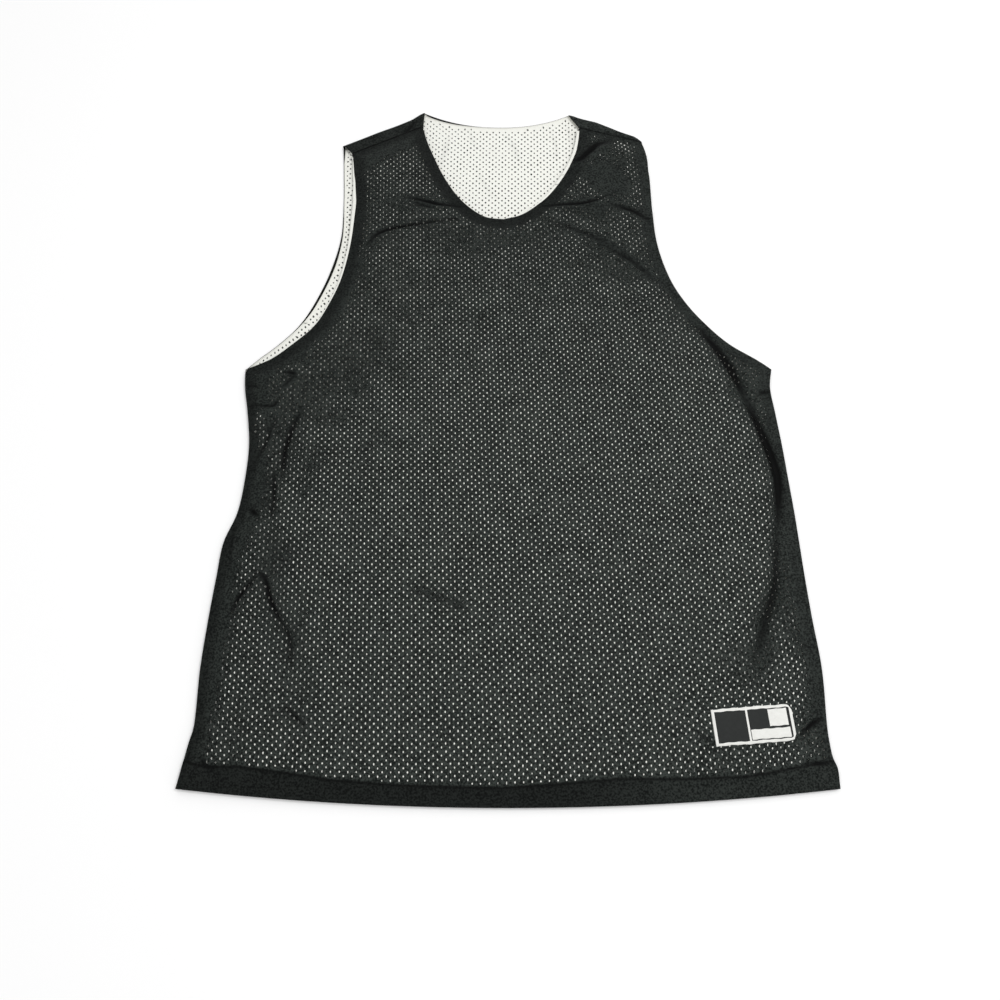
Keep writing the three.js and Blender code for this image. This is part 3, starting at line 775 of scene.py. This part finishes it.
def makePiece(name, mesh, materials):
    data = bpy.data.meshes.new(name)
    mesh.normal_update()
    mesh.to_mesh(data)
    mesh.free()
    data.shade_smooth()
    for material in materials:
        data.materials.append(material)
    piece = bpy.data.objects.new(name, data)
    bpy.context.scene.collection.objects.link(piece)
    return piece


# Node helpers.
def addNode(tree, kind, **settings):
    node = tree.nodes.new(kind)
    for key, value in settings.items():
        setattr(node, key, value)
    return node


def setInputs(node, values):
    for name, value in values.items():
        node.inputs[name].default_value = value


def mathNode(tree, operation, first, second=None):
    node = addNode(tree, "ShaderNodeMath", operation=operation)
    for socket, value in zip(node.inputs, (first, second)):
        if value is None:
            continue
        if isinstance(value, bpy.types.NodeSocket):
            tree.links.new(value, socket)
        else:
            socket.default_value = value
    return node.outputs[0]


stitches = {
    "ribWaver": 0.18, "courseShare": 0.5, "yarnHeight": 0.33, "grainScale": 520, "bumpDeep": 0.0002,
    "toneParts": (("Cloud", 0.16), ("Grain", 0.7), ("Yarn", 0.14)),
}


# Fine stitches of a knitted cloth: ribs that run up it, wavering at each course, and soft clouds of tone.
def makeKnitGroup():
    group = bpy.data.node_groups.new("knitStitches", "ShaderNodeTree")
    for name, value in (("Wale Width", 0.9), ("Course Height", 1.1), ("Cloud Scale", 45.0)):
        socket = group.interface.new_socket(name, in_out="INPUT", socket_type="NodeSocketFloat")
        socket.default_value = value
    for name in ("Yarn", "Grain", "Cloud"):
        group.interface.new_socket(name, in_out="OUTPUT", socket_type="NodeSocketFloat")
    start = addNode(group, "NodeGroupInput")
    end = addNode(group, "NodeGroupOutput")
    place = addNode(group, "ShaderNodeTexCoord")
    split = addNode(group, "ShaderNodeSeparateXYZ")
    group.links.new(place.outputs["Object"], split.inputs[0])
    across = mathNode(group, "MULTIPLY", split.outputs["X"], 1000.0)
    along = mathNode(group, "MULTIPLY", split.outputs["Y"], 1000.0)
    course = mathNode(group, "DIVIDE", along, start.outputs["Course Height"])
    wave = mathNode(group, "SINE", mathNode(group, "MULTIPLY", course, 2 * math.pi))
    wale = mathNode(group, "DIVIDE", across, start.outputs["Wale Width"])
    waver = mathNode(group, "MULTIPLY", wave, stitches["ribWaver"])
    shifted = mathNode(group, "ADD", wale, waver)
    rib = mathNode(group, "SINE", mathNode(group, "MULTIPLY", shifted, 2 * math.pi))
    courses = mathNode(group, "MULTIPLY", wave, stitches["courseShare"])
    loops = mathNode(group, "MULTIPLY", mathNode(group, "ADD", rib, courses), stitches["yarnHeight"])
    yarn = mathNode(group, "ADD", loops, 0.5)
    cloud = addNode(group, "ShaderNodeTexNoise")
    setInputs(cloud, {"Detail": 4, "Roughness": 0.6})
    group.links.new(place.outputs["Object"], cloud.inputs["Vector"])
    group.links.new(start.outputs["Cloud Scale"], cloud.inputs["Scale"])
    grain = addNode(group, "ShaderNodeTexNoise")
    setInputs(grain, {"Scale": stitches["grainScale"], "Detail": 2})
    group.links.new(place.outputs["Object"], grain.inputs["Vector"])
    group.links.new(grain.outputs["Fac"], end.inputs["Grain"])
    group.links.new(yarn, end.inputs["Yarn"])
    group.links.new(cloud.outputs["Fac"], end.inputs["Cloud"])
    return group


knitGroup = makeKnitGroup()


# A material with the knitted stitches in it: their bump, and a tone from shade to light.
def stitchedMaterial(name, look):
    material = bpy.data.materials.new(name)
    material.use_nodes = True
    tree = material.node_tree
    shader = tree.nodes["Principled BSDF"]
    knit = addNode(tree, "ShaderNodeGroup", node_tree=knitGroup)
    setInputs(knit, {"Wale Width": look["wale"], "Course Height": look["course"]})
    setInputs(knit, {"Cloud Scale": look["cloud"]})
    tone = addNode(tree, "ShaderNodeMix", data_type="RGBA")
    setInputs(tone, {"A": (*look["shade"], 1), "B": (*look["light"], 1)})
    bump = addNode(tree, "ShaderNodeBump")
    setInputs(bump, {"Strength": look["bump"], "Distance": stitches["bumpDeep"]})
    tree.links.new(knit.outputs["Yarn"], bump.inputs["Height"])
    tree.links.new(bump.outputs["Normal"], shader.inputs["Normal"])
    setInputs(shader, {"Roughness": look["rough"], "Specular IOR Level": look["specular"]})
    return material, tree, shader, knit, tone


def knitMaterial(name, look):
    material, tree, shader, knit, tone = stitchedMaterial(name, look)
    parts = [mathNode(tree, "MULTIPLY", knit.outputs[name], part) for name, part in stitches["toneParts"]]
    mix = mathNode(tree, "ADD", mathNode(tree, "ADD", parts[0], parts[1]), parts[2])
    mix = mathNode(tree, "MULTIPLY", mathNode(tree, "SUBTRACT", mix, 0.5), look["contrast"])
    tree.links.new(mathNode(tree, "ADD", mix, 0.5), tone.inputs["Factor"])
    # doubled cloth is deeper in tone than the open net, and painted shade darkens creases, seams and the
    # hem's stitch line;
    # the open net's tone also carries painted shade towards the top and left and painted light towards the
    # right
    openNetAndPaintedLight = addNode(tree, "ShaderNodeAttribute", attribute_name="openNetAndPaintedLight")
    creased = addNode(tree, "ShaderNodeAttribute", attribute_name="creased")
    thin = mathNode(tree, "MULTIPLY", openNetAndPaintedLight.outputs["Fac"], 1 - look["doubled"])
    thin = mathNode(tree, "ADD", thin, look["doubled"])
    fold = mathNode(tree, "MULTIPLY", creased.outputs["Fac"], look["paintedCreaseShade"])
    fold = mathNode(tree, "SUBTRACT", 1.0, fold)
    deep = addNode(tree, "ShaderNodeMix", data_type="RGBA")
    deep.inputs["A"].default_value = (*look["deepest"], 1)
    tree.links.new(tone.outputs["Result"], deep.inputs["B"])
    tree.links.new(mathNode(tree, "MULTIPLY", thin, fold), deep.inputs["Factor"])
    tree.links.new(deep.outputs["Result"], shader.inputs["Base Color"])
    rough = mathNode(tree, "MULTIPLY", knit.outputs["Cloud"], look["roughSpread"])
    tree.links.new(mathNode(tree, "ADD", rough, look["rough"]), shader.inputs["Roughness"])
    setInputs(shader, {"Sheen Weight": look["sheen"], "Sheen Roughness": 0.4})
    setInputs(shader, {"Sheen Tint": (0.9, 1, 0.98, 1)})
    return material


# Painted shade: creases and seams darken the base colour towards the deepest tone, by the crease share given
# here.
blackLook = {
    "shade": (0.005, 0.0067, 0.0059), "light": (0.0392, 0.0458, 0.0415),
    "deepest": (0.0005, 0.0007, 0.0007), "contrast": 8.0, "doubled": 0.33, "paintedCreaseShade": 0.97, "wale": 0.9,
    "course": 1.1, "cloud": 45.0, "rough": 0.45, "roughSpread": 0.25, "bump": 0.5, "specular": 0.065,
    "sheen": 0.02,
}
whiteLook = {
    "shade": (0.77, 0.77, 0.72), "light": (0.92, 0.92, 0.865), "deepest": (0.3, 0.3, 0.28), "contrast": 1.5,
    "doubled": 0.95, "paintedCreaseShade": 0.25, "wale": 0.9, "course": 1.1, "cloud": 40.0, "rough": 0.65,
    "roughSpread": 0.2, "bump": 0.5, "specular": 0.3, "sheen": 0.1,
}
knits = {"black": knitMaterial("blackKnit", blackLook), "white": knitMaterial("whiteKnit", whiteLook)}

# The plies: how each net is turned and shifted, its holes' size, and how much of the way to the
# shoulder seams it wraps. Holes are closed where less than the least white would show.
frontOutline = closedOutline(frontRuns(0, 0), stack["black"], frontBands)
frontBlackSize = {"turn": 2.3, "shift": (0, 0), "hole": (1.28, 2.4), "wraps": 0, "leastWhite": 0.03}
frontWhiteSize = {
    "turn": 2.3, "shift": (0, 0), "hole": (1.7, 2.9), "wraps": 0, "leastWhite": 0, "reveal": 4.2,
    "hemLift": 4,
}
backWhiteSize = {
    "turn": -0.5, "shift": (1, 0), "hole": (2.0, 2.9), "wraps": 0.8, "leastWhite": 0, "reveal": 2,
    "hemLift": 4,
}
backBlackSize = {"turn": -1.1, "shift": (0, 2), "hole": (1.35, 2.45), "wraps": 1, "leastWhite": 0}


def makePly(name, size, outline, onFront, ply, slide=None):
    creases = (frontForm if onFront else backForm)["creases"]
    mesh, layers = cutPly(outline, size, creases, slide)
    piece = finishPly(name, mesh, layers, outline, creases, onFront, ply)
    print("stage: the", ply, "front" if onFront else "back", "is cut")
    return piece


frontBlack = makePly("front_black_knit", frontBlackSize, frontOutline, True, "black")
runs = frontRuns(frontWhiteSize["reveal"], frontWhiteSize["hemLift"])
outline = closedOutline(runs, stack["white"], frontWhiteBands, stack["inward"])
frontWhite = makePly("front_white_knit", frontWhiteSize, outline, True, "white", frontSlide)
runs = backRuns(backWhiteSize["reveal"], backWhiteSize["hemLift"])
outline = closedOutline(runs, stack["white"], backBands, stack["inward"])
backWhite = makePly("back_white_knit", backWhiteSize, outline, False, "white")
outline = closedOutline(backRuns(0, 0), stack["black"], backBands)
backBlack = makePly("back_black_knit", backBlackSize, outline, False, "black")

# The tag at the lower right: a white woven border round black fields, with a plain white block and strip.
tagSize = {
    "wide": 78, "tall": 34, "corner": 6, "thick": 0.8, "border": 2.4, "place": (239, 75.5), "turn": 4.3,
    "raised": 0.25, "gap": 0.15, "grid": (26, 12), "rim": ((0.25, 0.15), (0.15, 0.35), (0.0, 0.45)),
}
# White fields as shares of the tag: left, right, bottom, top.
tagFields = [(0.42, 0.445, 0.06, 0.94), (0.70, 0.935, 0.43, 0.90), (0.455, 0.945, 0.10, 0.37)]
tagLook = {"wale": 0.45, "course": 0.6, "cloud": 260.0, "bump": 0.6, "rough": 0.6, "specular": 0.3}


def tagMaterial(name, shade, light):
    look = {**tagLook, "shade": shade, "light": light}
    material, tree, shader, knit, tone = stitchedMaterial(name, look)
    tree.links.new(knit.outputs["Cloud"], tone.inputs["Factor"])
    tree.links.new(tone.outputs["Result"], shader.inputs["Base Color"])
    return material


tagWhite = tagMaterial("tagWhite", (0.72, 0.72, 0.68), (0.9, 0.9, 0.87))
tagBlack = tagMaterial("tagBlack", (0.006, 0.0075, 0.007), (0.018, 0.0205, 0.0195))


def makeTag():
    wide = tagSize["wide"]
    tall = tagSize["tall"]
    border = tagSize["border"]
    mesh = bmesh.new()
    columns, rows = tagSize["grid"]
    bmesh.ops.create_grid(mesh, x_segments=columns, y_segments=rows, size=0.5)
    bmesh.ops.scale(mesh, verts=mesh.verts, vec=(wide, tall, 1))
    fields = np.array(tagFields) - 0.5
    fields *= (wide, wide, tall, tall)
    uprights = {border - wide / 2, wide / 2 - border, *fields[:, :2].flat}
    levels = {border - tall / 2, tall / 2 - border, *fields[:, 2:].flat}
    cuts = [((x, 0, 0), (1, 0, 0)) for x in sorted(uprights)]
    cuts += [((0, y, 0), (0, 1, 0)) for y in sorted(levels)]
    for place, facing in cuts:
        everything = list(mesh.verts) + list(mesh.edges) + list(mesh.faces)
        bmesh.ops.bisect_plane(mesh, geom=everything, plane_co=place, plane_no=facing)
    for face in mesh.faces:
        x, y = face.calc_center_median()[:2]
        isBorder = abs(x) > wide / 2 - border or abs(y) > tall / 2 - border
        inField = any(left < x < right and bottom < y < top for left, right, bottom, top in fields)
        face.material_index = 0 if isBorder or inField else 1
    white = [face for face in mesh.faces if face.material_index == 0]
    onWhite = {vertex for face in white for vertex in face.verts}
    straightPart = wide / 2 - tagSize["corner"]
    angle = math.radians(tagSize["turn"])
    places = []
    for vertex in mesh.verts:
        beyond = max(vertex.co.x - straightPart, 0)
        half = tall / 2 - tagSize["corner"] + math.sqrt(max(tagSize["corner"] ** 2 - beyond ** 2, 0))
        x = vertex.co.x
        y = vertex.co.y * half / (tall / 2)
        y += 0.35 * math.sin(x * 0.21) * (abs(y) / tall) + 0.25 * math.sin(x * 0.55 + y)
        vertex.co.z = tagSize["raised"] if vertex in onWhite else 0
        vertex.co.x = tagSize["place"][0] + x * math.cos(angle) - y * math.sin(angle)
        vertex.co.y = tagSize["place"][1] + x * math.sin(angle) + y * math.cos(angle)
        places.append(vertex.co[:2])
    lift = frontLift(np.array(places), frontOutline)
    under = stack["frontCentre"] + stack["black"] + tagSize["gap"]
    rim = [edge for edge in mesh.edges if edge.is_boundary]
    for vertex, z in zip(mesh.verts, lift):
        vertex.co.z += under + z + tagSize["thick"] - tagSize["raised"]
    for out, down in tagSize["rim"]:
        fresh, rim = newEdge(mesh, rim)
        centre = Vector((*tagSize["place"], 0))
        for vertex in fresh:
            away = vertex.co - centre
            away.z = 0
            vertex.co += away.normalized() * out
            vertex.co.z -= down
    toFrame(mesh)
    return makePiece("hem_tag", mesh, [tagWhite, tagBlack])


tag = makeTag()
print("stage: the tag is woven")

for piece, node, slot in (
    (frontBlack, "front_black_mesh", "black_mesh"),
    (frontWhite, "front_white_mesh", "white_mesh"),
    (backWhite, "back_white_mesh", "white_mesh"),
    (backBlack, "back_black_mesh", "black_mesh"),
    (tag, "hem_label", "label"),
):
    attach(piece, "root")
    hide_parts(node)

# The floor, pale and plain.
floorLook = {"half": 3.0, "tone": (0.97, 0.97, 0.97)}
floorMesh = bmesh.new()
bmesh.ops.create_grid(floorMesh, x_segments=1, y_segments=1, size=floorLook["half"])
floorMaterial = bpy.data.materials.new("paleFloor")
floorMaterial.use_nodes = True
floorTone = {"Base Color": (*floorLook["tone"], 1), "Roughness": 0.9, "Specular IOR Level": 0.1}
setInputs(floorMaterial.node_tree.nodes["Principled BSDF"], floorTone)
floor = makePiece("floor", floorMesh, [floorMaterial])

# Soft studio light: a pale room, and one wide soft light overhead towards the right.
light = {"room": 0.82, "soft": 22.0, "size": 0.9, "place": (1.2, 0.3, 2.2)}
world = bpy.data.worlds.new("paleRoom")
world.use_nodes = True
setInputs(world.node_tree.nodes["Background"], {"Color": (1, 1, 1, 1), "Strength": light["room"]})
scene = bpy.context.scene
scene.world = world
softData = bpy.data.lights.new("softLight", "AREA")
softData.energy = light["soft"]
softData.size = light["size"]
softLight = bpy.data.objects.new("softLight", softData)
softLight.location = light["place"]
softLight.rotation_mode = "QUATERNION"
softLight.rotation_quaternion = (-Vector(light["place"])).to_track_quat("-Z", "Y")
scene.collection.objects.link(softLight)
scene.view_settings.view_transform = "Standard"

cameraSetup = {"sensor": 36, "lens": 29.16, "place": (-0.0075, -0.4117, 0.8220), "tilt": 20.0}
cameraData = bpy.data.cameras.new("camera")
cameraData.sensor_width = cameraSetup["sensor"]
cameraData.lens = cameraSetup["lens"]
camera = bpy.data.objects.new("camera", cameraData)
camera.location = cameraSetup["place"]
camera.rotation_euler = (math.radians(cameraSetup["tilt"]), 0, 0)
scene.collection.objects.link(camera)
scene.camera = camera

print("stage: lit and ready")
